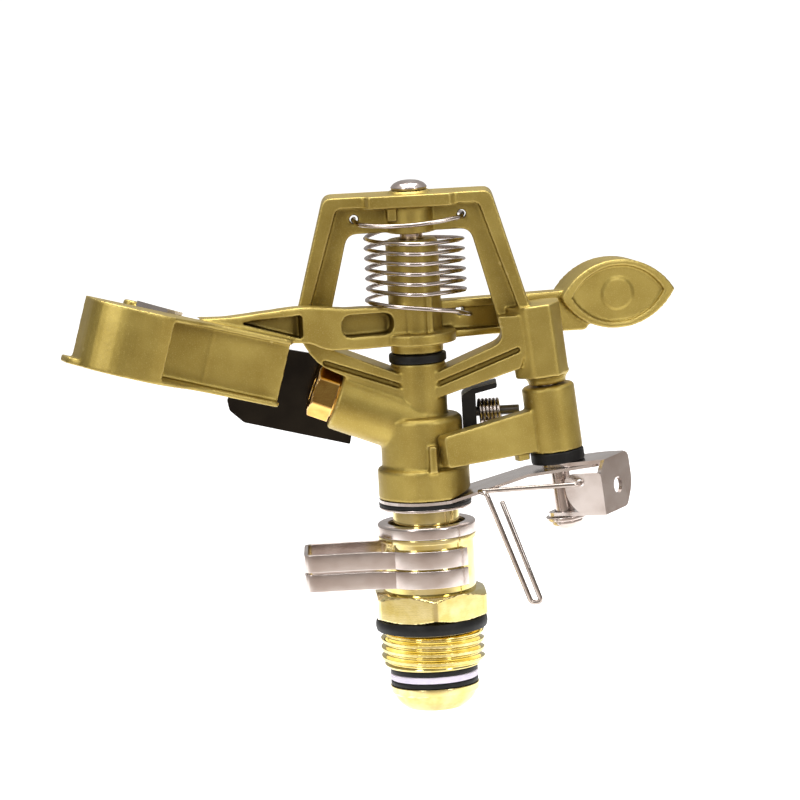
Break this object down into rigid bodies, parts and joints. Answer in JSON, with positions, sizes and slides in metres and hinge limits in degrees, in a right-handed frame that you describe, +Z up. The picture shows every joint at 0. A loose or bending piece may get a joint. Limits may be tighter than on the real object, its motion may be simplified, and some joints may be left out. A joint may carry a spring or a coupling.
{
  "type": "impact sprinkler",
  "caption": "Part-circle impact sprinkler head: threaded brass inlet, cast bridge body with sprung swing arm, trip lever and two friction collars.",
  "frame": {"origin": "on the inlet's axis, in the plane where the underside of the rubber washer seals on the mating fitting", "axes": "+Z up along the inlet's axis, -X the way the nozzle points at rest, -Y the side of the trip lever's arm"},
  "size_m": [0.1233, 0.0551, 0.1075],
  "materials": {
    "gold_lacquer": "satin metallic gold lacquer on die-cast zinc",
    "polished_brass": "polished and plated",
    "stainless": "bright pressed stainless sheet",
    "spring_wire": "bright drawn stainless spring wire",
    "dark_steel": "dark phosphated steel",
    "black_rubber": "matte moulded rubber",
    "white_slip_plastic": "matte white low-friction plastic",
    "black_plastic": "matte moulded black plastic"
  },
  "bodies": {
    "inlet": {"inlet_nipple": "polished_brass", "inlet_washer": "black_rubber", "spring_cup": "stainless"},
    "lower_collar": {"lower_collar": "stainless"},
    "upper_collar": {"upper_collar": "stainless"},
    "head": {"pivot_tube": "polished_brass", "upper_bearing_washer": "black_rubber", "slip_washer": "white_slip_plastic", "lower_bearing_washer": "black_rubber", "pivot_sleeve": "polished_brass", "pivot_spring": "spring_wire", "head_steel_washer": "stainless", "head_rubber_washer": "black_rubber", "head_casting": "gold_lacquer", "pin_strap": "stainless", "nozzle": "polished_brass", "flow_vane": "white_slip_plastic", "deflector_plate": "stainless", "deflector_rivet": "stainless", "fulcrum_pin": "stainless", "thrust_washer": "black_rubber", "arm_spring": "spring_wire", "trip_pin": "stainless", "trip_pin_washer": "stainless", "lever_pad": "black_rubber", "toggle_block": "black_plastic", "toggle_rod": "dark_steel", "toggle_spring": "spring_wire"},
    "swing_arm": {"swing_arm": "gold_lacquer", "wear_strip": "stainless"},
    "trip_bracket": {"trip_bracket": "stainless", "trip_wire": "spring_wire"},
    "trip_lever": {"trip_lever": "gold_lacquer"}
  },
  "joints": [
    {"name": "lower_collar_turn", "type": "hinge", "parent": "inlet", "child": "lower_collar", "pos_m": [0, 0, 0.0113], "axis": [0, 0, 1], "range_deg": [-160, 120]},
    {"name": "upper_collar_turn", "type": "hinge", "parent": "inlet", "child": "upper_collar", "pos_m": [0, 0, 0.0153], "axis": [0, 0, 1], "range_deg": [-160, 120]},
    {"name": "head_turn", "type": "hinge", "parent": "inlet", "child": "head", "pos_m": [0, 0, 0], "axis": [0, 0, 1], "range_deg": [-120, 160]},
    {"name": "arm_swing", "type": "hinge", "parent": "head", "child": "swing_arm", "pos_m": [0, 0, 0.06], "axis": [0, 0, 1], "range_deg": [0, 100], "stiffness_Nm_per_rad": 0.02, "springref_deg": -28.65, "deforming": ["arm_spring"]},
    {"name": "trip_bracket_swing", "type": "hinge", "parent": "head", "child": "trip_bracket", "pos_m": [0.02575, 0, 0.0486], "axis": [-0.0906, 0, 0.9959], "range_deg": [0, 24]},
    {"name": "trip_lever_swing", "type": "hinge", "parent": "head", "child": "trip_lever", "pos_m": [0.02575, 0, 0.0486], "axis": [-0.0906, 0, 0.9959], "range_deg": [0, 22]}
  ],
  "couplings": [
    {"joint": "trip_lever_swing", "follows": "trip_bracket_swing", "ratio": 0.9}
  ]
}
